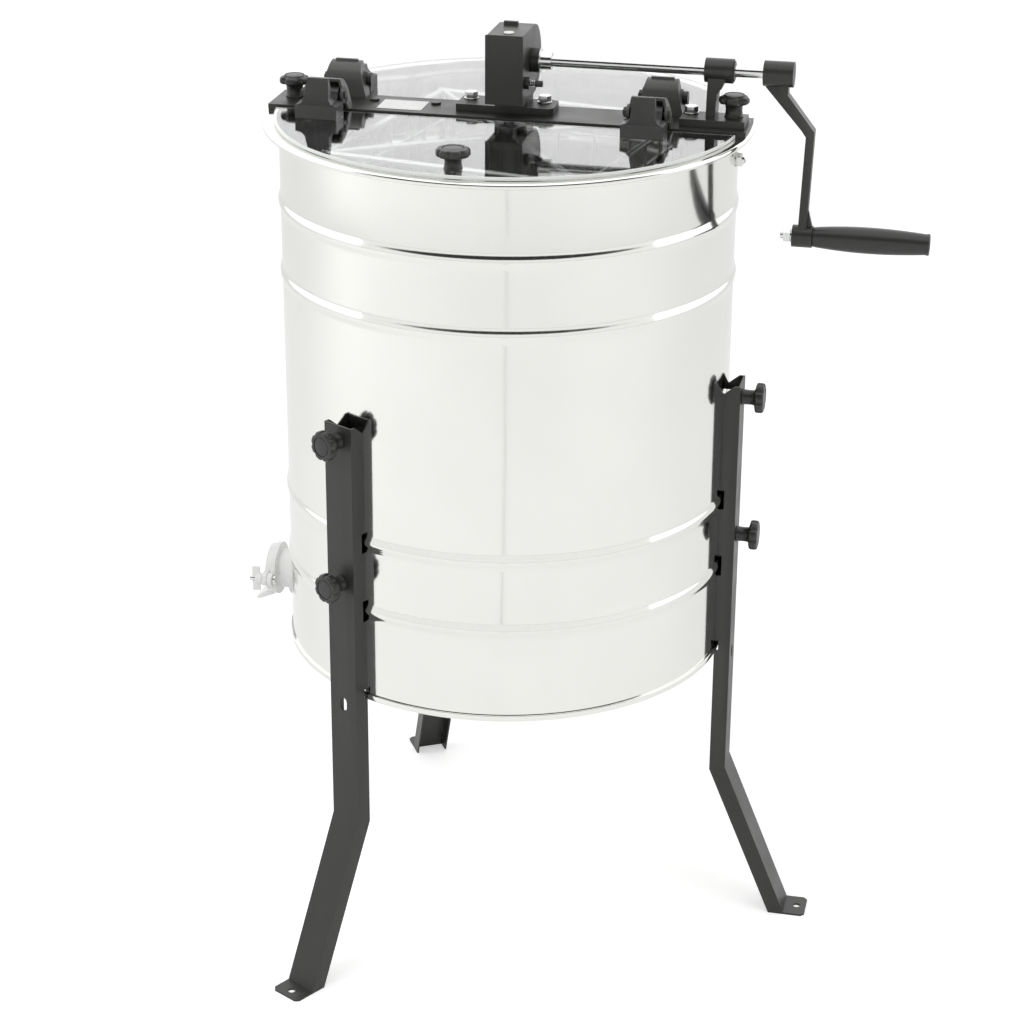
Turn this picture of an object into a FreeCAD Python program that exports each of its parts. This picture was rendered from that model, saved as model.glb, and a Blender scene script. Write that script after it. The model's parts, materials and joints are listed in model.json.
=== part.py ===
"""Hand-cranked honey extractor: a steel drum on three legs, with a four-frame basket and bevel drive.

Frame: millimetres, +Z up, Z = 0 on the floor, the drum's axis on Z, +X along the crossbar to the crank.
"""

import FreeCAD
import Part
import Sketcher
import math
import os

doc = FreeCAD.newDocument("honey_extractor")
sheet = doc.addObject("Spreadsheet::Sheet", "sizes")

DRIVING_SIZES = {
    # drum
    "drum_radius": 250,
    "sheet_steel": 1,
    "drum_bottom": 341.4,
    "drum_top": 949.4,
    "rim_radius": 267,
    "rim_roll": 3.2,
    "bead_rise": 2.5,
    "bead_half": 6.5,
    "floor_rise": 24,
    "floor_eye": 14,
    # legs
    "leg_face": 267.5,
    "leg_width": 40,
    "leg_depth": 19,
    "leg_steel": 2,
    "leg_top": 665,
    "leg_bend": 190,
    "leg_spread": 78,
    "foot_tab": 24,
    "foot_hole": 4.25,
    "foot_circle": 358.5,
    "knob_low": 481,
    "knob_high": 647,
    # crossbar and what stands on it
    "bar_length": 526,
    "bar_width": 64,
    "bar_steel": 6,
    "bar_knob_left": -244,
    "bar_knob_right": 245.5,
    "bearing_radius": 11,
    "shaft_height": 1013,
    "shaft_radius": 6,
    "base_steel": 8,
    "stand_steel": 8.5,
    # gearbox
    "box_left": -14,
    "box_right": 25,
    "box_front": -48,
    "box_middle": 12,
    "box_height": 1011.1,
    "box_round": 37.5,
    "box_steel": 1.5,
    "gear_teeth": 36,
    "pinion_teeth": 12,
    "cone_length": 34.15,
    "tooth_length": 9,
    # crank
    "crank_throw": 176,
    "hub_start": 276,
    "hub_end": 308,
    "boss_start": 314,
    "boss_end": 336,
    "grip_length": 125,
    # lids and hinges
    "lid_radius": 255,
    "lid_glass": 4,
    "lid_seat": 0.3,
    "lid_gap": 36,
    "pin_offset": 38,
    "pin_height": 972,
    "front_hood_radius": 17.5,
    "rear_hood_radius": 20,
    "hood_steel": 2.8,
    "front_hinge_left": -196,
    "front_hinge_right": 159,
    "rear_hinge_left": -191.5,
    "rear_hinge_right": 162.5,
    # basket
    "basket_half": 148,
    "basket_low": 405,
    "basket_high": 925,
    # honey gate
    "gate_height": 383,
    "gate_bore": 19,
    "gate_lug": 36,
}

for row, (alias, number) in enumerate(DRIVING_SIZES.items(), start=1):
    sheet.set(f"A{row}", alias)
    sheet.set(f"B{row}", str(number))
    sheet.setAlias(f"B{row}", alias)
doc.recompute()

X_AXIS = FreeCAD.Vector(1, 0, 0)
Y_AXIS = FreeCAD.Vector(0, 1, 0)
Z_AXIS = FreeCAD.Vector(0, 0, 1)
ALONG = {
    "x": FreeCAD.Rotation(Y_AXIS, 90),
    "y": FreeCAD.Rotation(X_AXIS, -90),
    "z": FreeCAD.Rotation(),
}

nodes = []
derived_cells = {}


# ---------------------------------------------------------------- helpers


def text(formula):
    """Write a formula of sheet aliases, or a plain number, as an expression on the sheet."""
    words = str(formula).replace("(", " ( ").replace(")", " ) ").split()
    return " ".join("sizes." + word if word in DRIVING_SIZES else word for word in words)


def size(formula):
    """The value of a formula in millimetres, worked out in a cell of the sheet."""
    words = text(formula).replace("sizes.", "")
    if words not in derived_cells:
        derived_cells[words] = f"D{len(derived_cells) + 1}"
        sheet.set(derived_cells[words], f"={words}")
        sheet.recompute()
    return float(sheet.get(derived_cells[words]))


def put(item, corner):
    """Bind an object's position to three formulas."""
    for letter, formula in zip("xyz", corner):
        item.setExpression(f"Placement.Base.{letter}", text(formula))


def turned(item, azimuth):
    """Turn a finished object about the drum's axis."""
    item.Placement = FreeCAD.Placement(FreeCAD.Vector(), FreeCAD.Rotation(Z_AXIS, azimuth))
    return item


def at_leg(azimuth, *pieces):
    """Pieces made on +X, grouped and turned to a leg's azimuth."""
    return turned(group(*pieces), azimuth)


def box(corner, span):
    item = doc.addObject("Part::Box", "box")
    for side, formula in zip(("Length", "Width", "Height"), span):
        item.setExpression(side, text(formula))
    put(item, corner)
    return item


def rod(radius, length, start, along="z"):
    item = doc.addObject("Part::Cylinder", "rod")
    item.setExpression("Radius", text(radius))
    item.setExpression("Height", text(length))
    item.Placement.Rotation = ALONG[along]
    put(item, start)
    return item


def cone(low_radius, high_radius, length, start, along="z"):
    item = doc.addObject("Part::Cone", "cone")
    item.setExpression("Radius1", text(low_radius))
    item.setExpression("Radius2", text(high_radius))
    item.setExpression("Height", text(length))
    item.Placement.Rotation = ALONG[along]
    put(item, start)
    return item


def ring(major, minor, height):
    item = doc.addObject("Part::Torus", "ring")
    item.setExpression("Radius1", text(major))
    item.setExpression("Radius2", text(minor))
    put(item, (0, 0, height))
    return item


def hexagon(across_flats, length, start, along="z"):
    item = doc.addObject("Part::Prism", "hexagon")
    item.Polygon = 6
    item.setExpression("Circumradius", f"{across_flats} / sqrt(3)")
    item.setExpression("Height", text(length))
    item.Placement.Rotation = ALONG[along]
    put(item, start)
    return item


def joined(*pieces):
    item = doc.addObject("Part::MultiFuse", "joined")
    item.Shapes = list(pieces)
    item.Refine = True
    return item


def shared(*pieces):
    item = doc.addObject("Part::MultiCommon", "shared")
    item.Shapes = list(pieces)
    return item


def cut(base, *tools):
    item = doc.addObject("Part::Cut", "cut")
    item.Base = base
    item.Tool = tools[0] if len(tools) == 1 else joined(*tools)
    return item


def group(*pieces):
    item = doc.addObject("Part::Compound", "group")
    item.Links = list(pieces)
    return item


def plane_of(body, role):
    return next(feature for feature in body.Origin.OriginFeatures if feature.Role == role)


def outline(body, role, corners):
    """A closed sketch of straight lines whose corners are bound to formulas."""
    sketch = body.newObject("Sketcher::SketchObject", "outline")
    sketch.AttachmentSupport = [(plane_of(body, role), "")]
    sketch.MapMode = "FlatFace"
    places = [FreeCAD.Vector(size(first), size(second), 0) for first, second in corners]
    for index, place in enumerate(places):
        sketch.addGeometry(Part.LineSegment(place, places[(index + 1) % len(places)]))
    for index, corner in enumerate(corners):
        following = (index + 1) % len(corners)
        sketch.addConstraint(Sketcher.Constraint("Coincident", index, 2, following, 1))
        for kind, formula, value in zip(("DistanceX", "DistanceY"), corner, places[index]):
            row = sketch.addConstraint(Sketcher.Constraint(kind, -1, 1, index, 1, value))
            sketch.setExpression(f"Constraints[{row}]", text(formula))
    return sketch


def padded(role, corners, length, middle=True):
    """A PartDesign body: an outline on one of its own planes, padded both ways or one way."""
    body = doc.addObject("PartDesign::Body", "body")
    pad = body.newObject("PartDesign::Pad", "pad")
    pad.Profile = outline(body, role, corners)
    pad.setExpression("Length", text(length))
    pad.Midplane = middle
    return body


def spun(corners):
    """A PartDesign body: an outline of (radius, height) corners turned about the vertical axis."""
    body = doc.addObject("PartDesign::Body", "body")
    sketch = outline(body, "XZ_Plane", corners)
    turn = body.newObject("PartDesign::Revolution", "turn")
    turn.Profile = sketch
    turn.ReferenceAxis = (sketch, ["V_Axis"])
    turn.Angle = 360
    return body


def shaped(shape):
    """A plain feature for a shape that primitives and sketches don't suit."""
    item = doc.addObject("Part::Feature", "shaped")
    item.Shape = shape
    return item


def node(label, item):
    item.Label = label
    nodes.append(item)
    return item


# ---------------------------------------------------------------- drum

LEG_AZIMUTHS = (0, 120, 240)
KNOB_HEIGHTS = ("knob_low", "knob_high")
RIM_BOLT_HEIGHT = "drum_top - 32"
STUD_BORE = 4.05
KNOB_GAP = 0.3
LEG_NOTCHES = ((435, 25), (517, 23), (341, 12))
BEADS = (102, 183, 437, 517)
BEAD_ROUND = "( bead_half * bead_half + bead_rise * bead_rise ) / ( 2 * bead_rise )"
BEAD_CENTRE = f"drum_radius + bead_rise - {BEAD_ROUND}"


def drum_wall():
    """One rolled sheet with four outward beads, a turned-out flange and a rolled edge."""
    height = "drum_top - drum_bottom"
    low = (0, 0, "drum_bottom")
    outside = [rod("drum_radius", height, low)]
    inside = [rod("drum_radius - sheet_steel", height, low)]
    for bead in BEADS:
        outside.append(ring(BEAD_CENTRE, BEAD_ROUND, f"drum_bottom + {bead}"))
        inside.append(ring(BEAD_CENTRE, f"{BEAD_ROUND} - sheet_steel", f"drum_bottom + {bead}"))
    outside.append(rod("rim_radius - rim_roll", "sheet_steel", (0, 0, "drum_top - sheet_steel")))
    outside.append(ring("rim_radius - rim_roll", "rim_roll", "drum_top - rim_roll"))
    gate_hole = rod("gate_bore + 4.2", 20, ("- drum_radius - 10", 0, "gate_height"), "x")
    bar_holes = rod(4.2, "2 * drum_radius + 20", ("- drum_radius - 10", 0, RIM_BOLT_HEIGHT), "x")
    stud_holes = [at_leg(azimuth, rod(4.2, 20, ("drum_radius - 10", 0, height), "x"))
                  for azimuth in LEG_AZIMUTHS for height in KNOB_HEIGHTS]
    return cut(joined(*outside), *inside, gate_hole, bar_holes, *stud_holes)


def drum_floor():
    """A cone that rises to the middle, seamed round the foot of the wall."""
    seam = "drum_radius + 2.2"
    inner = "drum_radius - sheet_steel"
    eye = "floor_eye"
    return spun([
        ("drum_radius", "drum_bottom + 6"), (seam, "drum_bottom + 6"), (seam, "drum_bottom - 1.2"),
        (f"{inner} - 1.2", "drum_bottom - 1.2"), (f"{inner} - 1.2", "drum_bottom + 4"),
        (eye, "drum_bottom + 4 + floor_rise"), (eye, "drum_bottom + 5.2 + floor_rise"),
        (inner, "drum_bottom + 5.2"), (inner, "drum_bottom"), ("drum_radius", "drum_bottom"),
    ])


def lower_bearing():
    """A cup on the middle of the floor that holds the foot of the basket's shaft."""
    seat = "drum_bottom + 5.2 + floor_rise"
    flange = rod(32, 3, (0, 0, seat))
    boss = rod(16, 16, (0, 0, seat))
    plug = rod("floor_eye - 0.1", 8, (0, 0, f"{seat} - 8"))
    return cut(joined(flange, boss, plug), rod(10.05, 30, (0, 0, f"{seat} + 5")))


node("drum_wall", drum_wall())
node("drum_floor", drum_floor())
node("lower_bearing", lower_bearing())


# ---------------------------------------------------------------- legs

def leg(azimuth):
    """A channel with its edges on the drum, bent outwards below it, and a drilled tab at the foot."""
    inner = "leg_face - leg_depth"
    web = "leg_face - leg_steel"
    toe = "leg_face + leg_spread"
    outside = padded("XZ_Plane", [
        (inner, "leg_top"), ("leg_face", "leg_top"), ("leg_face", "leg_bend"),
        (toe, 0), (f"{inner} + leg_spread", 0), (inner, "leg_bend - 3"),
    ], "leg_width")
    hollow = padded("XZ_Plane", [
        (f"{inner} - 4", "leg_top + 1"), (web, "leg_top + 1"), (web, "leg_bend - 0.4"),
        (f"{web} + leg_spread + 0.3", -1), (f"{inner} + leg_spread - 5", -1),
        (f"{inner} - 4", "leg_bend - 4"),
    ], "leg_width - 2 * leg_steel")
    top_slant = padded("XZ_Plane", [
        (f"{inner} - 1", "leg_top - 11"), ("leg_face - 5", "leg_top + 1"), (f"{inner} - 1", "leg_top + 1"),
    ], 60)
    tab = padded("XY_Plane", [
        (f"{toe} - 3", "- leg_width / 2"), (f"{toe} + foot_tab - 4", "- leg_width / 2"),
        (f"{toe} + foot_tab", "4 - leg_width / 2"), (f"{toe} + foot_tab", "leg_width / 2 - 4"),
        (f"{toe} + foot_tab - 4", "leg_width / 2"), (f"{toe} - 3", "leg_width / 2"),
    ], 2.5, middle=False)
    drum = rod("drum_radius + 0.02", "leg_top + 10", (0, 0, 0))
    notches = [box(("drum_radius - 10", -30, low), (14, 60, tall)) for low, tall in LEG_NOTCHES]
    foot_hole = rod("foot_hole", 10, ("foot_circle", 0, -2))
    knob_holes = [rod(4.5, 10, ("leg_face - 5", 0, height), "x") for height in KNOB_HEIGHTS]
    slot = joined(box(("leg_face - 5", -5, 330), (10, 10, 6)),
                  *[rod(5, 10, ("leg_face - 5", 0, height), "x") for height in (330, 336)])
    channel = cut(outside, hollow, top_slant, drum, *notches)
    return turned(cut(joined(channel, tab), foot_hole, slot, *knob_holes), azimuth)


def leg_stud(height):
    """A bolt through the drum wall, its head inside, locked by a nut, that a star knob screws on."""
    wall = "drum_radius - sheet_steel"
    head = hexagon(13, 5.3, (f"{wall} - 5.4", 0, height), "x")
    shank = rod(4, "leg_face + 12 - drum_radius + sheet_steel", (f"{wall} - 0.1", 0, height), "x")
    nut = hexagon(13, 6, ("drum_radius + 0.1", 0, height), "x")
    bore = rod(4, 20, ("drum_radius - 5", 0, height), "x")
    return [joined(head, shank), cut(nut, bore)]


def star_knob(radius, neck, reach, lobes=8, hollow=0.26, depth=0.1, crown=0):
    """A knob on +X from its seat at 0: a neck, and a head with finger hollows and a cap disc."""
    under = reach * 0.6
    cap = radius * 0.6
    profile = [
        (0, neck), (under - 1, neck), (under + 0.6, radius * 0.88), (reach * 0.74, radius),
        (reach * 0.86, radius * 0.96), (reach - crown, radius * 0.78), (reach, cap + 0.9),
        (reach - 1.2, cap + 0.9),
        (reach - 1.2, cap), (reach - 0.3, cap), (reach - 0.3, 0), (0, 0),
    ]
    corners = [FreeCAD.Vector(along, out, 0) for along, out in profile]
    knob = Part.Face(Part.makePolygon(corners + corners[:1])).revolve(FreeCAD.Vector(), X_AXIS, 360)
    out = radius * (1 - depth + hollow)
    for lobe in range(lobes):
        angle = 2 * math.pi * lobe / lobes
        place = FreeCAD.Vector(under - 2, out * math.cos(angle), out * math.sin(angle))
        knob = knob.cut(Part.makeCylinder(radius * hollow, reach, place, X_AXIS))
    return knob


def leg_knob(azimuth, height):
    """A star knob with a threaded hole for its stud."""
    thread = Part.makeCylinder(STUD_BORE, 14, FreeCAD.Vector(), X_AXIS)
    item = shaped(star_knob(16.8, 8.7, 24.5).cut(thread))
    spin = FreeCAD.Rotation(Z_AXIS, azimuth)
    seat = spin.multVec(FreeCAD.Vector(size("leg_face") + KNOB_GAP, 0, size(height)))
    item.Placement = FreeCAD.Placement(seat, spin)
    return item


for number, azimuth in enumerate(LEG_AZIMUTHS, start=1):
    node(f"leg_{number}", leg(azimuth))
    for height, place in zip(KNOB_HEIGHTS, ("low", "high")):
        node(f"leg_knob_{number}_{place}", leg_knob(azimuth, height))

node("leg_studs", group(*[at_leg(azimuth, *leg_stud(height))
                          for azimuth in LEG_AZIMUTHS for height in KNOB_HEIGHTS]))


# ---------------------------------------------------------------- crossbar

BAR_FOOT = "drum_top + 0.1"
BAR_TOP = "drum_top + 0.1 + bar_steel"
BOLT_PLACES = ((-45, 13, "base_steel"), (36.6, 14, "base_steel"), (199, 5, "stand_steel"))
PLUG_PLACES = (-153.5, -84)
PLUG_LINE = 10
SIDES = (-1, 1)
BAR_KNOBS = {-1: ("bar_knob_left", 7), 1: ("bar_knob_right", 0)}


def crossbar():
    """A flat bar across the drum's mouth that carries the drive and the lids."""
    plate = box(("- bar_length / 2", "- bar_width / 2", BAR_FOOT), ("bar_length", "bar_width", "bar_steel"))
    shaft_hole = rod("bearing_radius", 20, (0, 0, "drum_top - 5"))
    knob_holes = [rod(3.5, 20, (*place, "drum_top - 5")) for place in BAR_KNOBS.values()]
    bolt_holes = [rod(4, 20, (along, across, "drum_top - 5")) for along, across, _ in BOLT_PLACES]
    plug_holes = [rod(4, 20, (along, PLUG_LINE, "drum_top - 5")) for along in PLUG_PLACES]
    return cut(plate, shaft_hole, *knob_holes, *bolt_holes, *plug_holes)


def bar_brackets():
    """Angles inside the drum: bolted to its wall, and threaded for the bar's star knobs."""
    pieces = []
    drum = rod("drum_radius - sheet_steel - 0.02", 200, (0, 0, "drum_top - 100"))
    for side in SIDES:
        upright = box((-250 if side < 0 else 245, -20, "drum_top - 50"), (5, 40, 50))
        shelf = box((-250 if side < 0 else 222, -20, "drum_top - 6"), (28, 40, 6))
        thread = rod(3.05, 30, (*BAR_KNOBS[side], "drum_top - 6.1"))
        hole = rod(4, 20, (side * 250 - 10, 0, RIM_BOLT_HEIGHT), "x")
        pieces.append(cut(shared(joined(upright, shelf), drum), thread, hole))
    return group(*pieces)


def lower_x(side, low, high):
    """The lower X of a span from low to high on the left (-1) or right (+1) side."""
    return low if side > 0 else -high


def rim_bolts():
    """Bolts through bracket and wall, each with a washer and a domed nut outside."""
    pieces = []
    for side in SIDES:
        core = rod(4, 60, (side * 250 - 30, 0, RIM_BOLT_HEIGHT), "x")
        head = rod(6.5, 4, (lower_x(side, 240.9, 244.9), 0, RIM_BOLT_HEIGHT), "x")
        shank = rod(4, 13, (lower_x(side, 244.5, 257.5), 0, RIM_BOLT_HEIGHT), "x")
        washer = rod(8, 1.5, (lower_x(side, 250.1, 251.6), 0, RIM_BOLT_HEIGHT), "x")
        flats = hexagon(13, 5, (lower_x(side, 251.7, 256.7), 0, RIM_BOLT_HEIGHT), "x")
        dome = doc.addObject("Part::Sphere", "dome")
        dome.Radius = 5.4
        put(dome, (side * 255.6, 0, RIM_BOLT_HEIGHT))
        bore = rod(4, 8.6, (lower_x(side, 249, 257.6), 0, RIM_BOLT_HEIGHT), "x")
        pieces += [joined(head, shank), cut(washer, core), cut(joined(flats, dome), bore)]
    return group(*pieces)


def mount_bolts():
    """Hex bolts with washers and nuts that hold the gearbox and the shaft stand to the bar."""
    pieces = []
    for along, across, thickness in BOLT_PLACES:
        seat = f"{BAR_TOP} + {thickness}"
        core = rod(4, 60, (along, across, "drum_top - 20"))
        washer = cut(rod(8, 1.6, (along, across, seat)), core)
        head = hexagon(13, 6.4, (along, across, f"{seat} + 1.6"))
        shank = rod(4, f"bar_steel + {thickness} + 10", (along, across, "drum_top - 8"))
        nut = cut(hexagon(13, 6, (along, across, "drum_top - 5.9")), core)
        pieces += [washer, joined(head, shank), nut]
    return group(*pieces)


def bar_plugs():
    """Two push-in plugs that close spare holes in the bar."""
    shanks = [rod(4, 6, (along, PLUG_LINE, BAR_FOOT)) for along in PLUG_PLACES]
    heads = [rod(5.5, 2.5, (along, PLUG_LINE, BAR_TOP)) for along in PLUG_PLACES]
    return group(*[joined(shank, head) for shank, head in zip(shanks, heads)])


def bar_knob(side, lift):
    """A star knob with a stud down into the bracket, standing on the bar or on the stand's base."""
    reach_down = lift + size("bar_steel") + 5.5
    stud = Part.makeCylinder(3, reach_down + 1, FreeCAD.Vector(-reach_down, 0, 0), X_AXIS)
    item = shaped(star_knob(16.5, 10, 24, lobes=5, hollow=0.5, depth=0.2, crown=2).fuse(stud))
    along, across = BAR_KNOBS[side]
    seat = FreeCAD.Vector(size(along), across, size(BAR_TOP) + lift + KNOB_GAP)
    item.Placement = FreeCAD.Placement(seat, FreeCAD.Rotation(Y_AXIS, -90))
    return item


node("crossbar", crossbar())
node("bar_brackets", bar_brackets())
node("rim_bolts", rim_bolts())
node("mount_bolts", mount_bolts())
node("bar_plugs", bar_plugs())
node("label_plate", box((-143, -22, BAR_TOP), (50, 38, 0.4)))
node("bar_knob_left", bar_knob(-1, 0))
node("bar_knob_right", bar_knob(1, size("stand_steel")))


# ---------------------------------------------------------------- gearbox

BASE_TOP = f"{BAR_TOP} + base_steel"
BOX_WIDTH = "( box_right - box_left )"
BRAKE = (-33, "shaft_height - 17.5")
TOP_PLUG = (7, -34)


def gearbox_base():
    """The plate under the gearbox, with two rounded corners on the crank's side."""
    plate = box((-56, -14, BAR_TOP), (107, 41, "base_steel"))
    plate_edges = doc.addObject("Part::Fillet", "rounded")
    plate_edges.Base = plate
    doc.recompute()
    upright = []
    for index, edge in enumerate(plate.Shape.Edges, start=1):
        start, end = (vertex.Point for vertex in edge.Vertexes)
        if abs(start.z - end.z) > 1 and start.x > 0:
            upright.append((index, 8, 8))
    plate_edges.Edges = upright
    eye = rod("bearing_radius", 20, (0, 0, BAR_FOOT))
    holes = [rod(4, 20, (along, across, BAR_FOOT)) for along, across, _ in BOLT_PLACES[:2]]
    return cut(plate_edges, eye, *holes)


def upper_bearing():
    """The bush that holds the top of the basket's shaft in bar and base."""
    sleeve = rod("bearing_radius", f"{BASE_TOP} - ( {BAR_FOOT} )", (0, 0, BAR_FOOT))
    return cut(sleeve, rod(6.05, 40, (0, 0, "drum_top - 10")))


def gearbox_frame():
    """Two bearing plates on a foot, inside the cover."""
    left = box(("box_left + box_steel", -16, BASE_TOP), (3, 32, 64))
    right = box(("box_right - box_steel - 3", -16, BASE_TOP), (3, 32, 64))
    foot = box(("box_left + box_steel", -16, BASE_TOP), (f"{BOX_WIDTH} - 2 * box_steel", 32, 3))
    eye = rod(9.5, 10, (0, 0, f"{BASE_TOP} - 2"))
    bore = rod(9, 60, ("box_left - 5", 0, "shaft_height"), "x")
    pinion_space = rod(12.7, 30, (0, 0, f"{BASE_TOP} + 3"))
    return cut(joined(left, right, foot), eye, bore, pinion_space)


def gearbox_housing():
    """A bent sheet about the gears, round behind and open in front."""
    outer = joined(
        rod("box_round", BOX_WIDTH, ("box_left", "box_middle", "box_height"), "x"),
        box(("box_left", "box_front + box_steel", "box_height - box_round"),
            (BOX_WIDTH, "box_middle - box_front - box_steel", "2 * box_round")))
    clear = f"{BOX_WIDTH} - 2 * box_steel"
    inner = joined(
        rod("box_round - box_steel", clear, ("box_left + box_steel", "box_middle", "box_height"), "x"),
        box(("box_left + box_steel", "box_front - 1", "box_height - box_round + box_steel"),
            (clear, "box_middle + 1 - box_front", "2 * box_round - 2 * box_steel")))
    mouth = box(("box_left + box_steel", -20, "box_height - box_round - 5"), (clear, 40, 20))
    shaft_hole = rod(9, 20, ("box_right - 10", 0, "shaft_height"), "x")
    brake_hole = rod(4, 20, ("box_right - 10", *BRAKE), "x")
    plug_hole = rod(4.5, 10, (*TOP_PLUG, "box_height + box_round - 5"))
    tab = box((-7, 3, "box_height + box_round - 3"), (15.5, 5, 7))
    return cut(joined(outer, tab), inner, mouth, shaft_hole, brake_hole, plug_hole)


def gearbox_front_cover():
    """The flat sheet that closes the housing's front and laps past its left side."""
    return box(("box_left - 2", "box_front", "box_height - box_round"),
               (f"{BOX_WIDTH} + 2", "box_steel", "2 * box_round"))


def top_plug():
    """A push-in plug in the housing's roof."""
    roof = "box_height + box_round"
    return joined(rod(4.5, 5, (*TOP_PLUG, f"{roof} - 4")), rod(5.6, 1.2, (*TOP_PLUG, roof)))


def shaft_bushes():
    """The flanged bushes of the crank's shaft: one through the cover, one in the far plate."""
    near = joined(rod(13, 9, ("box_right", 0, "shaft_height"), "x"),
                  rod(9, 4.5, ("box_right - 4.5", 0, "shaft_height"), "x"))
    far = joined(rod(9, 3, ("box_left + box_steel", 0, "shaft_height"), "x"),
                 rod(11.5, 1.5, ("box_left + box_steel + 3", 0, "shaft_height"), "x"))
    bores = [rod(6.05, 40, (start, 0, "shaft_height"), "x") for start in (15, -20)]
    return group(cut(near, bores[0]), cut(far, bores[1]))


def brake_bush():
    """The guide of the brake's plunger, pressed into the housing."""
    collar = rod(6.5, 5, ("box_right", *BRAKE), "x")
    neck = rod(4, 1.5, ("box_right - box_steel", *BRAKE), "x")
    return cut(joined(collar, neck), rod(2.55, 30, (10, *BRAKE), "x"))


def brake_plunger():
    """Shoe, pin and finger knob: pushed in, the shoe stops just short of the gear's back."""
    shoe = rod(7, 3, ("box_right - 6.5", *BRAKE), "x")
    pin = rod(2.5, 25, ("box_right - 6.5", *BRAKE), "x")
    head = rod(3.4, 8, ("box_right + 11", *BRAKE), "x")
    return joined(shoe, pin, head)


def brake_spring():
    """The spring that pushes the plunger back out."""
    coil = Part.makeHelix(1.9, 4.9, 3.4)
    wire = Part.Wire(Part.makeCircle(0.42, FreeCAD.Vector(3.4, 0, 0), Y_AXIS))
    item = shaped(Part.Wire(coil.Edges).makePipeShell([wire], True, True))
    place = FreeCAD.Vector(size("box_right + 5.5"), BRAKE[0], size(BRAKE[1]))
    item.Placement = FreeCAD.Placement(place, ALONG["x"])
    return item


node("gearbox_base", gearbox_base())
node("upper_bearing", upper_bearing())
node("gearbox_frame", gearbox_frame())
node("gearbox_housing", gearbox_housing())
node("gearbox_front_cover", gearbox_front_cover())
node("top_plug", top_plug())
node("shaft_bushes", shaft_bushes())
node("brake_bush", brake_bush())
node("brake_plunger", brake_plunger())
node("brake_spring", brake_spring())


# ---------------------------------------------------------------- shaft stand

STAND_TOP = f"{BAR_TOP} + stand_steel"


def shaft_stand():
    """A welded stand for the far end of the crank's shaft: base plate, post and bearing sleeve."""
    plate = box((190, -22, BAR_TOP), (70, 36, "stand_steel"))
    post = padded("XZ_Plane", [
        (217, STAND_TOP), (227, STAND_TOP), (227.8, f"{STAND_TOP} + 25.5"), (233.5, f"{STAND_TOP} + 33"),
        (236, "shaft_height - 9"), (236, "shaft_height - 6"), (218, "shaft_height - 6"),
    ], 28)
    sleeve = rod(13, 30.5, (213.5, 0, "shaft_height"), "x")
    knob_hole = rod(3.5, 40, (*BAR_KNOBS[1], BAR_FOOT))
    bolt_hole = rod(4, 40, (199, 5, BAR_FOOT))
    bore = rod(8.5, 60, (200, 0, "shaft_height"), "x")
    return cut(joined(plate, post, sleeve), knob_hole, bolt_hole, bore)


def stand_bush():
    """The flanged bush that the shaft turns in at the stand."""
    sleeve = rod(8.5, 30.5, (213.5, 0, "shaft_height"), "x")
    flange = rod(11, 1.4, (244, 0, "shaft_height"), "x")
    return cut(joined(sleeve, flange), rod(6.05, 60, (200, 0, "shaft_height"), "x"))


node("shaft_stand", shaft_stand())
node("stand_bush", stand_bush())


# ---------------------------------------------------------------- crank

GRIP_HEIGHT = "shaft_height - crank_throw"
ARM_BAR = [
    (294, "shaft_height - 8"), (294, "shaft_height - 23"), (324, "shaft_height - 65"),
    (320.5, "shaft_height - 163"), (320.5, GRIP_HEIGHT), (329.5, GRIP_HEIGHT),
    (329.5, "shaft_height - 163"), (333, "shaft_height - 59"), (303, "shaft_height - 21"),
    (303, "shaft_height - 8"),
]
ARM_UPPER_WEB = [
    (278.5, "shaft_height - 8"), (278.5, "shaft_height - 14"), (323.7, "shaft_height - 65"),
    (300, "shaft_height - 26"), (300, "shaft_height - 8"),
]
ARM_LOWER_WEB = [
    (327, "shaft_height - 143"), (329.5, "shaft_height - 143"), (335.5, f"{GRIP_HEIGHT} + 10"),
    (335.5, f"{GRIP_HEIGHT} + 4"), (327, f"{GRIP_HEIGHT} + 4"),
]


def crank_shaft():
    return rod("shaft_radius", "hub_end - 2 - ( box_left + box_steel + 0.5 )",
               ("box_left + box_steel + 0.5", 0, "shaft_height"), "x")


def shaft_collar():
    """A thrust washer and the collar that keeps the shaft in its place."""
    washer = rod(13, 1.2, ("box_right + 9.3", 0, "shaft_height"), "x")
    collar = rod(9.6, 12, ("box_right + 10.5", 0, "shaft_height"), "x")
    return cut(joined(washer, collar), rod("shaft_radius", 60, (20, 0, "shaft_height"), "x"))


def crank_arm():
    """A cast arm: hub, cranked bar with a web at each end, and the grip's boss."""
    hub = rod(13.5, "hub_end - hub_start", ("hub_start", 0, "shaft_height"), "x")
    bar = padded("XZ_Plane", ARM_BAR, 15)
    upper_web = padded("XZ_Plane", ARM_UPPER_WEB, 6)
    lower_web = padded("XZ_Plane", ARM_LOWER_WEB, 5)
    boss = rod(12, "boss_end - boss_start", ("boss_start", 0, GRIP_HEIGHT), "x")
    shaft_seat = rod("shaft_radius", "hub_end - hub_start - 2", ("hub_start", 0, "shaft_height"), "x")
    bolt_hole = rod(4, 60, (300, 0, GRIP_HEIGHT), "x")
    return cut(joined(hub, bar, upper_web, lower_web, boss), shaft_seat, bolt_hole)


def grip_bolt():
    """The bolt that the grip turns on: head in the grip's end, nut and washer behind the boss."""
    shank = rod(4, 155, (301, 0, GRIP_HEIGHT), "x")
    head = rod(7, 4, (455, 0, GRIP_HEIGHT), "x")
    core = rod(4, 20, (300, 0, GRIP_HEIGHT), "x")
    washer = cut(rod(6.5, 1.5, (312.5, 0, GRIP_HEIGHT), "x"), core)
    nut = cut(hexagon(13, 8, (304.5, 0, GRIP_HEIGHT), "x"), core)
    return group(joined(shank, head), washer, nut)


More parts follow.
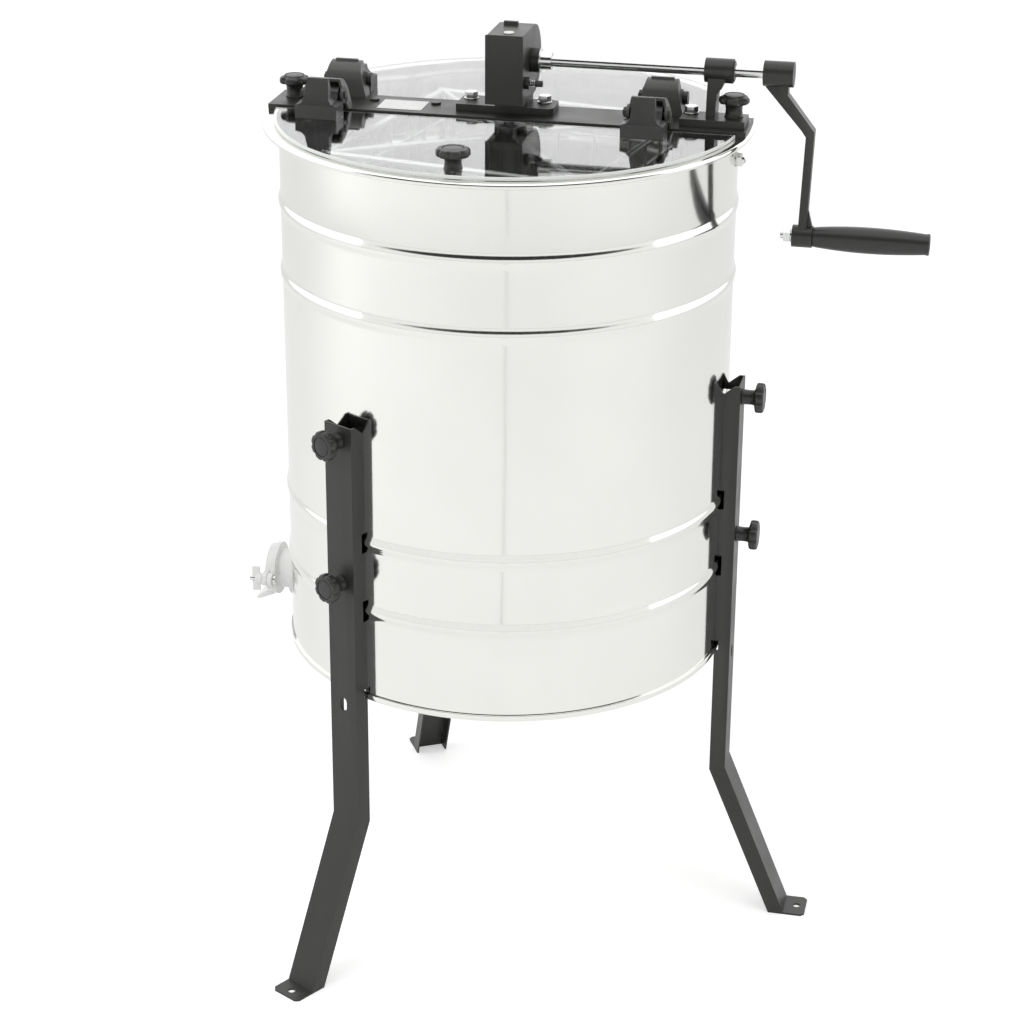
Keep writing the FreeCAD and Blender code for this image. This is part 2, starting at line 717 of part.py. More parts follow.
def crank_grip():
    """A turned grip, fuller towards its end, with a pocket for the bolt's head."""
    start = "boss_end + 0.5"
    thirds = "grip_length / 3"
    body = joined(
        cone(10.5, 13.6, thirds, (start, 0, GRIP_HEIGHT), "x"),
        cone(13.6, 14, thirds, (f"{start} + {thirds}", 0, GRIP_HEIGHT), "x"),
        cone(14, 11.2, thirds, (f"{start} + 2 * {thirds}", 0, GRIP_HEIGHT), "x"))
    bore = rod(4.06, 140, (330, 0, GRIP_HEIGHT), "x")
    pocket = rod(7.4, 20, (454.6, 0, GRIP_HEIGHT), "x")
    return cut(body, bore, pocket)


node("crank_shaft", crank_shaft())
node("shaft_collar", shaft_collar())
node("crank_arm", crank_arm())
node("grip_bolt", grip_bolt())
node("crank_grip", crank_grip())


# ---------------------------------------------------------------- bevel gears


def bevel_gear(teeth, other_teeth, hub_radius, back, bore):
    """A straight bevel gear on +X whose cones meet at the origin, with one tooth on its -Z side."""
    pitch = math.atan2(teeth, other_teeth)
    reach = size("cone_length")
    near = reach - size("tooth_length")
    module = 2 * reach * math.sin(pitch) / teeth
    root = pitch - 1.15 * module / reach
    tip = pitch + 0.75 * module / reach

    def corner(distance, cone_angle, turn):
        out = distance * math.sin(cone_angle)
        return FreeCAD.Vector(distance * math.cos(cone_angle), out * math.sin(turn), -out * math.cos(turn))

    far, close = reach, near
    rim = [
        (close * math.cos(root), close * math.sin(root)), (far * math.cos(root), far * math.sin(root)),
        (back, far * math.sin(root)), (back, hub_radius), (close * math.cos(root), hub_radius),
    ]
    corners = [FreeCAD.Vector(along, 0, out) for along, out in rim]
    blank = Part.Face(Part.makePolygon(corners + corners[:1])).revolve(FreeCAD.Vector(), X_AXIS, 360)
    foot_half = 0.27 * 2 * math.pi / teeth
    tip_half = 0.13 * 2 * math.pi / teeth
    low = root - 0.4 * module / reach
    sections = []
    for distance in (close + 0.3, far - 0.3):
        places = [corner(distance, low, -foot_half), corner(distance, tip, -tip_half),
                  corner(distance, tip, tip_half), corner(distance, low, foot_half)]
        sections.append(Part.makePolygon(places + places[:1]))
    tooth = Part.makeLoft(sections, True, True)
    copies = []
    for number in range(teeth):
        copy = tooth.copy()
        copy.rotate(FreeCAD.Vector(), X_AXIS, 360 * number / teeth)
        copies.append(copy)
    return blank.multiFuse(copies).cut(Part.makeCylinder(bore, 80, FreeCAD.Vector(-40, 0, 0), X_AXIS))


def crank_gear():
    gear = bevel_gear(int(size("gear_teeth")), int(size("pinion_teeth")), 5, 15, 6)
    hub = Part.makeCylinder(13, 10.8, FreeCAD.Vector(9, 0, 0), X_AXIS)
    item = shaped(gear.fuse(hub.cut(Part.makeCylinder(6, 40, FreeCAD.Vector(), X_AXIS))))
    item.Placement = FreeCAD.Placement(FreeCAD.Vector(0, 0, size("shaft_height")), FreeCAD.Rotation())
    return item


def basket_pinion():
    """The small gear on the basket's shaft, turned so that a gap meets the big gear's tooth."""
    teeth = int(size("pinion_teeth"))
    item = shaped(bevel_gear(teeth, int(size("gear_teeth")), 5, 42, 5))
    half_tooth = FreeCAD.Rotation(X_AXIS, 180 / teeth)
    down = FreeCAD.Rotation(Y_AXIS, 90).multiply(half_tooth)
    item.Placement = FreeCAD.Placement(FreeCAD.Vector(0, 0, size("shaft_height")), down)
    return item


node("crank_gear", crank_gear())
node("basket_pinion", basket_pinion())


# ---------------------------------------------------------------- basket

FOOT_OF_SHAFT = "drum_bottom + 10.4 + floor_rise"
BASKET_REST = -11
NECK_FOOT = 937
TIP_FOOT = 968
ROD = 3.5
WIRE = 1.5
WIRE_STEP = 44


def in_basket(item):
    """A piece of the basket, turned to the angle at which the basket rests."""
    return turned(item, BASKET_REST)


def basket_shaft():
    """A tube between the bearings, necked down for the upper bush and the pinion."""
    tube = rod(10, f"{NECK_FOOT} + 1 - ( {FOOT_OF_SHAFT} )", (0, 0, FOOT_OF_SHAFT))
    neck = rod(6, TIP_FOOT + 1 - NECK_FOOT, (0, 0, NECK_FOOT))
    tip = rod(5, f"shaft_height - 25 - {TIP_FOOT}", (0, 0, TIP_FOOT))
    return joined(tube, neck, tip)


def basket_frame(height):
    """Hub, arms to the corners, and the square of rods that one end of the screens is welded to."""
    hub = cut(rod(18, 24, (0, 0, f"{height} - 12")), rod(10, 60, (0, 0, f"{height} - 30")))
    diagonal = "basket_half * 1.414"
    arms = []
    for turn in range(4):
        arms.append(turned(group(rod(ROD, f"{diagonal} - 14", (14, 0, height), "x")), 45 + 90 * turn))
    span = f"2 * basket_half + {2 * ROD}"
    start = f"0 - basket_half - {ROD}"
    rods = []
    for side in SIDES:
        rods.append(rod(ROD, span, (start, f"{side} * basket_half", height), "x"))
        rods.append(rod(ROD, span, (f"{side} * basket_half", start, height), "y"))
    return in_basket(joined(hub, *arms, *rods))


def basket_screen():
    """One screen of welded wire on +X, between the two squares."""
    lift = "( basket_high - basket_low )"
    wires = []
    for step in range(-3, 4):
        wires.append(rod(WIRE, f"{lift} + 3", ("basket_half - 4.98", step * WIRE_STEP, "basket_low - 1.5")))
    for level in range(8):
        height = f"basket_low + 30 + ( {lift} - 60 ) * {level} / 7"
        start = ("basket_half - 7.38", -3 * WIRE_STEP - 3, height)
        wires.append(rod(WIRE, 6 * WIRE_STEP + 6, start, "y"))
    return joined(*wires)


def basket_screens():
    """Four screens, one for each comb frame."""
    return in_basket(group(*[turned(basket_screen(), 90 * turn) for turn in range(4)]))


def basket_posts():
    """Corner posts that tie the two squares together."""
    posts = []
    for turn in range(4):
        start = ("basket_half", "basket_half", f"basket_low + {ROD} + 0.2")
        post = group(rod(ROD, f"basket_high - basket_low - {2 * ROD} - 0.4", start))
        posts.append(turned(post, 90 * turn))
    return in_basket(group(*posts))


node("basket_shaft", basket_shaft())
node("basket_frame_low", basket_frame("basket_low"))
node("basket_frame_high", basket_frame("basket_high"))
node("basket_screens", basket_screens())
node("basket_posts", basket_posts())


# ---------------------------------------------------------------- lids and hinges

LID_FOOT = "drum_top + lid_seat"
LID_TOP = "drum_top + lid_seat + lid_glass"
HINGES = {
    -1: ("front_hinge_left", "front_hinge_right"),
    1: ("rear_hinge_left", "rear_hinge_right"),
}
PIN_RADIUS = 3
KNUCKLE = 8
EAR = 9
RIB_FRONT = [(-23, -4.2), (23, -4.2), (17, -2.4), (13.6, 2), (11.6, 23.6), (-11.6, 23.6), (-13.6, 2),
             (-17, -2.4)]
HOOD_FRONT = [(16.7, 22), (26, -17.8), (26, -30), (-26, -30), (-26, -17.8), (-16.7, 22)]
RIB_SIDES = {
    -1: [(20, -5), (38.5, -5), (27, 23.6), (23.5, 23.6), (21, 2), (18, -2)],
    1: [(23, -5), (38.5, -5), (32, 9), (23, 9)],
}
LID_KNOB = (-7, 229.6)
CLAMP_SCREWS = (-17, 17)
SCREW_LINE = 16


def lower_y(side, near, far):
    """The lower Y of a span from near to far on the front (-1) or rear (+1) side."""
    return near if side > 0 else f"0 - ( {far} )"


def hinge_outline(side, corners, width, middle):
    """A padded outline given as (outwards from the pin, above the pin) corners."""
    body = padded("YZ_Plane", [(f"{side} * ( pin_offset + {out} )", f"pin_height + {up}")
                               for out, up in corners], width)
    body.setExpression("Placement.Base.x", text(middle))
    return body


def hinge_front(hinge, corners):
    """A padded outline given as (along from the hinge's middle, above the pin) corners."""
    return padded("XZ_Plane", [(f"{hinge} + {along}", f"pin_height + {up}") for along, up in corners], 200)


def lid_plate(side):
    """Half of the clear lid: a straight edge beside the bar and a round edge on the rim."""
    disc = rod("lid_radius", "lid_glass", (0, 0, LID_FOOT))
    half = box(("0 - lid_radius - 5", lower_y(side, "lid_gap", "lid_gap + lid_radius"), "drum_top - 1"),
               ("2 * lid_radius + 10", "lid_radius", "lid_glass + 2"))
    line = f"{side} * ( pin_offset + {SCREW_LINE} )"
    holes = [rod(2.5, 20, (f"{hinge} + {offset}", line, "drum_top - 5"))
             for hinge in HINGES[side] for offset in CLAMP_SCREWS]
    if side < 0:
        holes.append(rod(3, 20, (LID_KNOB[0], side * LID_KNOB[1], "drum_top - 5")))
    return cut(shared(disc, half), *holes)


def lid_bracket(side, hinge):
    """The lid's half of a hinge: knuckle on the pin, arm, foot on the lid and a leaning, flared rib."""
    foot_drop = "0 - ( pin_height - drum_top - lid_seat - lid_glass )"
    knuckle = rod(KNUCKLE, 32.4, (f"{hinge} - 16.2", f"{side} * pin_offset", "pin_height"), "x")
    arm = hinge_outline(side, [(0, -8), (9, foot_drop), (24, foot_drop), (24, -4), (12, -4), (4, 7)],
                        32.4, hinge)
    foot = hinge_outline(side, [(10, foot_drop), (39, foot_drop), (39, -4.2), (10, -4.2)], 46, hinge)
    slope = hinge_outline(side, RIB_SIDES[side], 46, hinge)
    rib = shared(slope, hinge_front(hinge, RIB_FRONT))
    bore = rod(PIN_RADIUS + 0.05, 60, (f"{hinge} - 30", f"{side} * pin_offset", "pin_height"), "x")
    return cut(joined(knuckle, arm, foot, rib), bore)


def lid_brackets(side):
    return group(*[lid_bracket(side, hinge) for hinge in HINGES[side]])


def lid_clamps(side):
    """Plates below the lid, each with the two screws that hold a bracket's foot to the lid."""
    pieces = []
    for hinge in HINGES[side]:
        line = f"{side} * ( pin_offset + {SCREW_LINE} )"
        plate = box((f"{hinge} - 23", lower_y(side, "pin_offset + 8", "pin_offset + 24"),
                     f"{LID_FOOT} - 3"),
                    (46, 16, 3))
        screws = []
        for offset in CLAMP_SCREWS:
            place = f"{hinge} + {offset}"
            screws.append(rod(2.5, "lid_glass + 0.5", (place, line, f"{LID_FOOT} - 0.5")))
            screws.append(rod(4.5, 2, (place, line, f"{LID_FOOT} - 5")))
        pieces.append(joined(plate, *screws))
    return group(*pieces)


def hinge_hood(side, hinge):
    """The bar's half of a hinge: a round-topped hood that widens downwards, and an ear at each pin end."""
    pin = f"{side} * pin_offset"
    floor_drop = "0 - ( pin_height - drum_top - 0.1 - bar_steel )"
    shells = []
    outer = "front_hood_radius" if side < 0 else "rear_hood_radius"
    for radius, thinner, drop in ((outer, 0, 0), (f"{outer} - hood_steel", 2.8, 1)):
        barrel = rod(radius, 60, (f"{hinge} - 30", pin, "pin_height"), "x")
        back = f"0 - ( {radius} )"
        bottom = f"{floor_drop} - {drop}"
        skirt = hinge_outline(side, [(back, bottom), (0, bottom), (0, 0), (back, 0)], 60, hinge)
        front = [(along - math.copysign(thinner, along), up) for along, up in HOOD_FRONT]
        shells.append(shared(joined(barrel, skirt), hinge_front(hinge, front)))
    kept = hinge_outline(side, [(-40, floor_drop), (-3, floor_drop), (2, -4), (2, 40), (-40, 40)],
                         60, hinge)
    pieces = [rod(EAR, 2.8, (f"{hinge} + {offset}", pin, "pin_height"), "x") for offset in (-22, 19.2)]
    if side > 0:
        corner = (f"{hinge} - 12.5", "pin_offset - 4", "pin_height + rear_hood_radius - 1")
        pieces.append(box(corner, (25, 4, 3)))
    spot_faces = [rod(EAR, 8, (f"{hinge} + {offset}", pin, "pin_height"), "x") for offset in (-30, 22)]
    bore = rod(PIN_RADIUS, 60, (f"{hinge} - 30", pin, "pin_height"), "x")
    return cut(joined(shared(cut(*shells), kept), *pieces), bore, *spot_faces)


def hinge_pin(side, hinge):
    """A pin with a head on its right end, broader on the rear lid, and a nut on its left."""
    pin = f"{side} * pin_offset"
    shank = rod(PIN_RADIUS, 50, (f"{hinge} - 27", pin, "pin_height"), "x")
    radius, thick = (7, 6) if side > 0 else (4.5, 1.6)
    head = rod(radius, thick, (f"{hinge} + 22", pin, "pin_height"), "x")
    nut = cut(hexagon(10, 4, (f"{hinge} - 26", pin, "pin_height"), "x"),
              rod(PIN_RADIUS, 60, (f"{hinge} - 30", pin, "pin_height"), "x"))
    return [joined(shank, head), nut]


def lid_knob():
    """The lifting knob of the front lid, on a screw with a nut below the lid."""
    knob = star_knob(17.8, 9.3, 21.3)
    screw = Part.makeCylinder(3, 9, FreeCAD.Vector(-8, 0, 0), X_AXIS)
    nut = Part.makeCylinder(6, 3.9, FreeCAD.Vector(-8, 0, 0), X_AXIS)
    item = shaped(knob.fuse([screw, nut]))
    place = FreeCAD.Vector(LID_KNOB[0], -LID_KNOB[1], size(LID_TOP))
    item.Placement = FreeCAD.Placement(place, FreeCAD.Rotation(Y_AXIS, -90))
    return item


for name, side in (("front", -1), ("rear", 1)):
    node(f"lid_{name}", lid_plate(side))
    node(f"lid_brackets_{name}", lid_brackets(side))
    node(f"lid_clamps_{name}", lid_clamps(side))

node("lid_knob", lid_knob())
node("hinge_hoods", group(*[hinge_hood(side, hinge) for side in SIDES for hinge in HINGES[side]]))
node("hinge_pins", group(*[piece for side in SIDES for hinge in HINGES[side]
                           for piece in hinge_pin(side, hinge)]))


# ---------------------------------------------------------------- honey gate

GATE_FACE = -280
FLAP_FRONT = GATE_FACE - 6.4
GATE = (0, "gate_height")


def gate_body():
    """A threaded spout through the drum wall with a face that the flap seals against."""
    shank = rod("gate_bore + 4", 39, (GATE_FACE, *GATE), "x")
    collar = rod(30, 5.5, (-258, *GATE), "x")
    face = rod(31, 6, (GATE_FACE, *GATE), "x")
    lugs = [rod(8, 6, (GATE_FACE, f"{side} * gate_lug", "gate_height"), "x") for side in SIDES]
    bore = rod("gate_bore", 80, (GATE_FACE - 10, *GATE), "x")
    screw_holes = [rod(3, 20, (GATE_FACE - 2, f"{side} * gate_lug", "gate_height"), "x") for side in SIDES]
    return cut(joined(shank, collar, face, *lugs), bore, *screw_holes)


def gate_nut():
    return cut(hexagon(52, 5, (-246.8, *GATE), "x"), rod("gate_bore + 4", 40, (-260, *GATE), "x"))


def gate_gasket():
    return cut(rod(29, 2.4, (-252.5, *GATE), "x"), rod("gate_bore + 4", 40, (-270, *GATE), "x"))


def gate_screws():
    """The flap's pivot screw and the clamping stud."""
    pivot = joined(rod(3, 18, (-291, "gate_lug", "gate_height"), "x"),
                   rod(8, 3, (-291.5, "gate_lug", "gate_height"), "x"))
    stud = joined(rod(3, 29, (-302, "0 - gate_lug", "gate_height"), "x"),
                  rod(5, 3, (-274, "0 - gate_lug", "gate_height"), "x"))
    return group(pivot, stud)


def gate_flap():
    """The plate that swings off the spout, with a slotted ear for the stud and a turned-out handle."""
    disc = rod(29, 6, (FLAP_FRONT, *GATE), "x")
    bridge = box((FLAP_FRONT, "0 - gate_lug", "gate_height - 8"), (6, "2 * gate_lug", 16))
    ears = [rod(8, 6, (FLAP_FRONT, f"{side} * gate_lug", "gate_height"), "x") for side in SIDES]
    handle = padded("XZ_Plane", [
        (GATE_FACE - 0.4, "gate_height - 24"), (FLAP_FRONT, "gate_height - 24"),
        (GATE_FACE - 22, "gate_height - 34"), (GATE_FACE - 23, "gate_height - 37.5"),
        (GATE_FACE - 19, "gate_height - 38"), (GATE_FACE - 0.4, "gate_height - 30"),
    ], 24)
    pivot_hole = rod(3.05, 20, (-292, "gate_lug", "gate_height"), "x")
    slot = joined(rod(3.6, 20, (-292, "0 - gate_lug", "gate_height"), "x"),
                  box((-292, "0 - gate_lug - 3.6", "gate_height - 20"), (20, 7.2, 20)))
    return cut(joined(disc, bridge, *ears, handle), pivot_hole, slot)


def gate_wing_nut():
    hub = cone(5.5, 7, 8, (-295, "0 - gate_lug", "gate_height"), "x")
    wings = box((-299, "0 - gate_lug - 1.6", "gate_height - 15"), (9, 3.2, 30))
    return cut(joined(hub, wings), rod(3.05, 40, (-310, "0 - gate_lug", "gate_height"), "x"))


node("gate_body", gate_body())
node("gate_nut", gate_nut())
node("gate_gasket", gate_gasket())
node("gate_screws", gate_screws())
node("gate_flap", gate_flap())
node("gate_wing_nut", gate_wing_nut())


# ---------------------------------------------------------------- check and export

doc.recompute()
for item in doc.Objects:
    if "Invalid" in item.State or "Error" in item.State:
        users = [user.Label for user in item.InList]
        raise RuntimeError(f"{item.Label} ({item.TypeId}), used by {users}, failed: {item.State}")
for item in nodes:
    if item.Shape.isNull() or not item.Shape.isValid():
        raise RuntimeError(f"{item.Label} has no valid shape")

os.makedirs("parts", exist_ok=True)
for item in nodes:
    item.Shape.exportStep(f"parts/{item.Label}.step")
    print(item.Label, len(item.Shape.Solids), round(item.Shape.Volume, 1))
print(len(nodes), "nodes")
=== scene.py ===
"""Honey extractor: finishes, finer pieces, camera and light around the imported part. Metres, Z up."""

import json
import math

import bmesh
import bpy
from mathutils import Matrix, Vector


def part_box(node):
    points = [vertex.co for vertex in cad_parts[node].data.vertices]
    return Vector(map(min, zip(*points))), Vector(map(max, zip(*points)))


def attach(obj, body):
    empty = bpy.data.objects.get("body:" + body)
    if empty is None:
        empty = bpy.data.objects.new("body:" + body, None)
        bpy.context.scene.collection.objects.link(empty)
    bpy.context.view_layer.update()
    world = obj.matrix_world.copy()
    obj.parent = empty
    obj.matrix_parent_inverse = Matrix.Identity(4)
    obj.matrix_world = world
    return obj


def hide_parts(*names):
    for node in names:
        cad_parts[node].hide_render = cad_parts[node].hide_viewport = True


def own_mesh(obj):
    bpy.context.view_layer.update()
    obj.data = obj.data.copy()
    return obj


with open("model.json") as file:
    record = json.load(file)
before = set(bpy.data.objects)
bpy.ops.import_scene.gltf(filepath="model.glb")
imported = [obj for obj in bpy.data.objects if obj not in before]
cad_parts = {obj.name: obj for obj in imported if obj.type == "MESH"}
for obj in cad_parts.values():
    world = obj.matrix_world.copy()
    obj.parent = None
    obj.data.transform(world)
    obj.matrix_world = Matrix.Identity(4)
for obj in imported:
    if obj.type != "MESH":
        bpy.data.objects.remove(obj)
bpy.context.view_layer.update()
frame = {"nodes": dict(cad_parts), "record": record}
NODES = frame["nodes"]
MM = 0.001


# ---------------------------------------------------------------- materials

# Noise scales, in cells per metre.
POLISHING_LINES = 900
STEEL_CLOUDS = 9
SHEET_WAVES = 5
BLACK_CLOUDS = 22
PALE_MOTTLE = 60
PALE_GRAIN = 700
HANDLING_MARKS = 40
SHEET_RIPPLES = 6
SAW_LINES = 500

# Pointiness at which a black edge starts and ends to turn paler, and how far it goes: a painted highlight on
# sharp edges.
EDGE_HIGHLIGHT_START = 0.53
EDGE_HIGHLIGHT_FULL = 0.62
EDGE_HIGHLIGHT_SHARE = 0.55


def new_material(name):
    """A node material with its shader and a noise source that reads the piece's own metres."""
    material = bpy.data.materials.new(name)
    material.use_nodes = True
    tree = material.node_tree
    shader = tree.nodes["Principled BSDF"]
    place = tree.nodes.new("ShaderNodeTexCoord")
    return material, tree, shader, place.outputs["Object"]


def noise(tree, place, scale, detail=3.0, stretch=None):
    """Noise of so many cells per metre, drawn out along an axis where stretch says so."""
    node = tree.nodes.new("ShaderNodeTexNoise")
    node.inputs["Scale"].default_value = scale
    node.inputs["Detail"].default_value = detail
    if stretch:
        mapping = tree.nodes.new("ShaderNodeMapping")
        mapping.inputs["Scale"].default_value = stretch
        tree.links.new(place, mapping.inputs["Vector"])
        place = mapping.outputs["Vector"]
    tree.links.new(place, node.inputs["Vector"])
    return node.outputs["Fac"]


def spread(tree, factor, low, high):
    """Map a noise's middle range onto low to high."""
    node = tree.nodes.new("ShaderNodeMapRange")
    node.inputs["From Min"].default_value = 0.3
    node.inputs["From Max"].default_value = 0.7
    node.inputs["To Min"].default_value = low
    node.inputs["To Max"].default_value = high
    tree.links.new(factor, node.inputs["Value"])
    return node.outputs["Result"]


def blend(tree, factor, first, second):
    """A colour between two, by a factor."""
    node = tree.nodes.new("ShaderNodeMix")
    node.data_type = "RGBA"
    node.inputs["A"].default_value = (*first, 1)
    node.inputs["B"].default_value = (*second, 1)
    tree.links.new(factor, node.inputs["Factor"])
    return node.outputs["Result"]


def bump(tree, shader, layers):
    """Stack height layers (factor, depth in metres) into the shader's normal."""
    normal = None
    for factor, depth in layers:
        node = tree.nodes.new("ShaderNodeBump")
        node.inputs["Distance"].default_value = depth
        node.inputs["Strength"].default_value = 1.0
        tree.links.new(factor, node.inputs["Height"])
        if normal:
            tree.links.new(normal, node.inputs["Normal"])
        normal = node.outputs["Normal"]
    tree.links.new(normal, shader.inputs["Normal"])


def steel(name, colour, roughness, waves=0.0, grain=0.0, stretch=(1, 1, 1)):
    """Bare steel: fine drawn-out polishing lines, and slow waves in thin sheet."""
    material, tree, shader, place = new_material(name)
    shader.inputs["Metallic"].default_value = 1.0
    lines = noise(tree, place, POLISHING_LINES, 4, stretch)
    clouds = noise(tree, place, STEEL_CLOUDS, 2)
    darker = tuple(channel * 0.93 for channel in colour)
    tree.links.new(blend(tree, clouds, colour, darker), shader.inputs["Base Color"])
    tree.links.new(spread(tree, lines, roughness * 0.75, roughness * 1.35), shader.inputs["Roughness"])
    layers = []
    if waves:
        layers.append((noise(tree, place, SHEET_WAVES, 1), waves))
    if grain:
        layers.append((lines, grain))
    if layers:
        bump(tree, shader, layers)
    return material


def black(name, colour, roughness, grain_scale, grain, specular=0.5):
    """Black paint or moulded plastic: fine texture, uneven gloss and a painted highlight that makes sharp
    edges paler.
    """
    material, tree, shader, place = new_material(name)
    shader.inputs["Specular IOR Level"].default_value = specular
    fine = noise(tree, place, grain_scale, 3)
    clouds = noise(tree, place, BLACK_CLOUDS, 3)
    # Painted highlight: the sharper the edge, the paler its colour.
    edge_pointiness = tree.nodes.new("ShaderNodeNewGeometry").outputs["Pointiness"]
    edge = tree.nodes.new("ShaderNodeMapRange")
    edge.inputs["From Min"].default_value = EDGE_HIGHLIGHT_START
    edge.inputs["From Max"].default_value = EDGE_HIGHLIGHT_FULL
    edge.inputs["To Max"].default_value = EDGE_HIGHLIGHT_SHARE
    tree.links.new(edge_pointiness, edge.inputs["Value"])
    body = blend(tree, clouds, colour, tuple(channel * 1.35 for channel in colour))
    painted_edge_highlight = tree.nodes.new("ShaderNodeMix")
    painted_edge_highlight.data_type = "RGBA"
    painted_edge_highlight.inputs["B"].default_value = (*(channel * 2.4 + 0.01 for channel in colour), 1)
    tree.links.new(edge.outputs["Result"], painted_edge_highlight.inputs["Factor"])
    tree.links.new(body, painted_edge_highlight.inputs["A"])
    tree.links.new(painted_edge_highlight.outputs["Result"], shader.inputs["Base Color"])
    tree.links.new(spread(tree, clouds, roughness * 0.85, roughness * 1.2), shader.inputs["Roughness"])
    bump(tree, shader, [(fine, grain)])
    return material


def pale_plastic(name, colour, roughness):
    """White or cream moulded plastic with a faint mottle."""
    material, tree, shader, place = new_material(name)
    mottle = noise(tree, place, PALE_MOTTLE, 3)
    shade = tuple(channel * 0.94 for channel in colour)
    tree.links.new(blend(tree, mottle, colour, shade), shader.inputs["Base Color"])
    tree.links.new(spread(tree, mottle, roughness * 0.8, roughness * 1.2), shader.inputs["Roughness"])
    shader.inputs["Subsurface Weight"].default_value = 0.08
    shader.inputs["Subsurface Radius"].default_value = (0.004, 0.004, 0.003)
    bump(tree, shader, [(noise(tree, place, PALE_GRAIN, 2), 0.00003)])
    return material


def clear_plastic():
    """Glossy clear acrylic sheet: faint waves, handling marks in its gloss, and a slight tint."""
    material, tree, shader, place = new_material("clear_acrylic")
    shader.inputs["Transmission Weight"].default_value = 1.0
    shader.inputs["IOR"].default_value = 1.9
    shader.inputs["Base Color"].default_value = (0.975, 0.985, 0.985, 1)
    marks = noise(tree, place, HANDLING_MARKS, 5, (1, 3, 1))
    tree.links.new(spread(tree, marks, 0.0, 0.03), shader.inputs["Roughness"])
    bump(tree, shader, [(noise(tree, place, SHEET_RIPPLES, 1), 0.0003)])
    return material


def lid_edge():
    """The sawn and flamed edge of the acrylic: milky, with a faint yellow-green cast and saw lines."""
    material, tree, shader, place = new_material("acrylic_edge")
    lines = noise(tree, place, SAW_LINES, 3, (1, 1, 0.2))
    milky, greenish = (0.95, 0.96, 0.94), (0.88, 0.90, 0.86)
    tree.links.new(blend(tree, lines, milky, greenish), shader.inputs["Base Color"])
    tree.links.new(spread(tree, lines, 0.12, 0.3), shader.inputs["Roughness"])
    bump(tree, shader, [(lines, 0.00004)])
    return material


DRUM_STEEL = steel("polished_drum_steel", (0.875, 0.88, 0.84), 0.10, waves=0.0012, grain=0.000002,
                   stretch=(1, 1, 0.05))
BRIGHT_STEEL = steel("bright_steel", (0.78, 0.79, 0.78), 0.16, grain=0.000004, stretch=(0.1, 1, 1))
BASKET_STEEL = steel("basket_steel", (0.58, 0.59, 0.58), 0.32, grain=0.000004)
GEAR_STEEL = steel("gear_steel", (0.50, 0.50, 0.49), 0.34, grain=0.00001)
BLACK_PAINT = black("black_powder_coat", (0.021, 0.0215, 0.0195), 0.36, 1400, 0.00003)
BLACK_PLASTIC = black("black_moulded_plastic", (0.025, 0.0255, 0.024), 0.34, 2200, 0.000012)
HINGE_PLASTIC = black("black_hinge_plastic", (0.042, 0.043, 0.041), 0.36, 1800, 0.00002)
SEAL_RUBBER = black("seal_rubber", (0.03, 0.03, 0.03), 0.7, 1600, 0.00004, specular=0.3)
WHITE_PLASTIC = pale_plastic("white_gate_plastic", (0.93, 0.935, 0.92), 0.32)
BEARING_PLASTIC = pale_plastic("bearing_plastic", (0.80, 0.79, 0.74), 0.4)
CLEAR_PLASTIC = clear_plastic()
LID_EDGE = lid_edge()

SLOT_MATERIALS = {
    "polished_steel": DRUM_STEEL,
    "bright_steel": BRIGHT_STEEL,
    "gear_steel": GEAR_STEEL,
    "black_paint": BLACK_PAINT,
    "black_plastic": BLACK_PLASTIC,
    "clear_plastic": CLEAR_PLASTIC,
    "white_plastic": WHITE_PLASTIC,
    "bearing_plastic": BEARING_PLASTIC,
    "seal_rubber": SEAL_RUBBER,
}


# ---------------------------------------------------------------- carried-over nodes

NODE_SLOTS = {part["node"]: part["material_slot"] for part in frame["record"]["subparts"]}
BASKET_NODES = ("basket_frame_low", "basket_frame_high", "basket_screens", "basket_posts", "basket_shaft")
HINGE_NODES = ("lid_brackets_front", "lid_brackets_rear", "hinge_hoods")
OWN_FINISH = {name: BASKET_STEEL for name in BASKET_NODES} | {name: HINGE_PLASTIC for name in HINGE_NODES}

# Bevel widths in millimetres, of the nodes whose edges are rounded.
EDGE_WIDTHS = {
    "crossbar": 0.8, "gearbox_base": 1.2, "gearbox_housing": 0.5, "gearbox_front_cover": 0.6,
    "shaft_stand": 0.9, "crank_arm": 1.6, "leg_1": 0.7, "leg_2": 0.7, "leg_3": 0.7, "top_plug": 0.4,
    "brake_bush": 0.5, "brake_plunger": 0.5, "stand_bush": 0.4, "shaft_collar": 0.5, "shaft_bushes": 0.5,
    "lid_brackets_front": 1.0, "lid_brackets_rear": 1.0, "hinge_hoods": 1.0, "hinge_pins": 0.8,
    "lid_clamps_front": 0.6, "lid_clamps_rear": 0.6,
    "mount_bolts": 0.4, "rim_bolts": 0.4, "grip_bolt": 0.4, "leg_studs": 0.4, "bar_plugs": 0.7,
    "bar_brackets": 0.6, "gate_body": 0.8, "gate_flap": 1.0, "gate_nut": 0.6, "gate_wing_nut": 0.7,
    "gate_screws": 0.4, "label_plate": 0.1, "lower_bearing": 0.6, "crank_shaft": 0.6,
}
WELD_GAP = 1e-6
FLAT_ANGLE = math.radians(0.4)
SHARP_ANGLE = math.radians(35)

for name, node in NODES.items():
    finish = OWN_FINISH.get(name, SLOT_MATERIALS[NODE_SLOTS[name]])
    if not node.material_slots:
        node.data.materials.append(finish)
    for place in node.material_slots:
        place.material = finish
    if name in EDGE_WIDTHS:
        weld = node.modifiers.new("weld", "WELD")
        weld.merge_threshold = WELD_GAP
        flats = node.modifiers.new("flats", "DECIMATE")
        flats.decimate_type = "DISSOLVE"
        flats.angle_limit = FLAT_ANGLE
        bevel = node.modifiers.new("rounded_edges", "BEVEL")
        bevel.width = EDGE_WIDTHS[name] * MM
        bevel.segments = 2
        bevel.limit_method = "ANGLE"
        bevel.angle_limit = SHARP_ANGLE
        normals = node.modifiers.new("normals", "WEIGHTED_NORMAL")
        normals.keep_sharp = False


# ---------------------------------------------------------------- piece helpers

